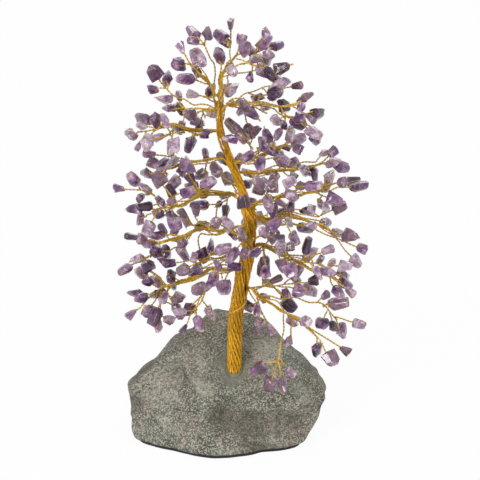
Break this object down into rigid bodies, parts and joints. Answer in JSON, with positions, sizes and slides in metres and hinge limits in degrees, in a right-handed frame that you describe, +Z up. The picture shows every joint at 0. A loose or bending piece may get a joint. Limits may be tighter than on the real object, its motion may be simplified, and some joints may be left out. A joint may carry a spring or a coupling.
{
  "type": "gemstone tree ornament",
  "caption": "Table ornament: a tree of twisted brass-coloured wire with drilled amethyst chips on its twigs, glued into a rough stone base.",
  "frame": {"origin": "centre of the stone's width at floor level, under the trunk's foot in depth, on the underside of the pad", "axes": "+Z up along the trunk, +X to the right in the pictured view, -Y towards the viewer"},
  "size_m": [0.1491, 0.1339, 0.2548],
  "materials": {
    "stone": "rough broken face",
    "felt": "matt felt",
    "glue": "cured clear glue",
    "wire": "satin gold-coloured wire",
    "amethyst": "tumbled and polished"
  },
  "bodies": {
    "root": {"stone_base": "stone", "base_pad": "felt", "socket_glue": "glue", "trunk_binding": "wire", "low_right_limb": "wire", "low_right_twigs": "wire", "low_right_chips": "amethyst", "left_low_limb": "wire", "left_low_twigs": "wire", "left_low_chips": "amethyst", "left_inner_limb": "wire", "left_inner_twigs": "wire", "left_inner_chips": "amethyst", "right_low_limb": "wire", "right_low_twigs": "wire", "right_low_chips": "amethyst", "front_limb": "wire", "front_twigs": "wire", "front_chips": "amethyst", "left_arm_limb": "wire", "left_arm_twigs": "wire", "left_arm_chips": "amethyst", "right_arm_limb": "wire", "right_arm_twigs": "wire", "right_arm_chips": "amethyst", "right_wide_limb": "wire", "right_wide_twigs": "wire", "right_wide_chips": "amethyst", "back_limb": "wire", "back_twigs": "wire", "back_chips": "amethyst", "left_mid_limb": "wire", "left_mid_twigs": "wire", "left_mid_chips": "amethyst", "right_mid_limb": "wire", "right_mid_twigs": "wire", "right_mid_chips": "amethyst", "right_upper_limb": "wire", "right_upper_twigs": "wire", "right_upper_chips": "amethyst", "left_upper_limb": "wire", "left_upper_twigs": "wire", "left_upper_chips": "amethyst", "left_high_limb": "wire", "left_high_twigs": "wire", "left_high_chips": "amethyst", "left_shoulder_limb": "wire", "left_shoulder_twigs": "wire", "left_shoulder_chips": "amethyst", "right_shoulder_limb": "wire", "right_shoulder_twigs": "wire", "right_shoulder_chips": "amethyst", "upper_left_limb": "wire", "upper_left_twigs": "wire", "upper_left_chips": "amethyst", "leader_limb": "wire", "leader_twigs": "wire", "leader_chips": "amethyst"}
  },
  "joints": []
}
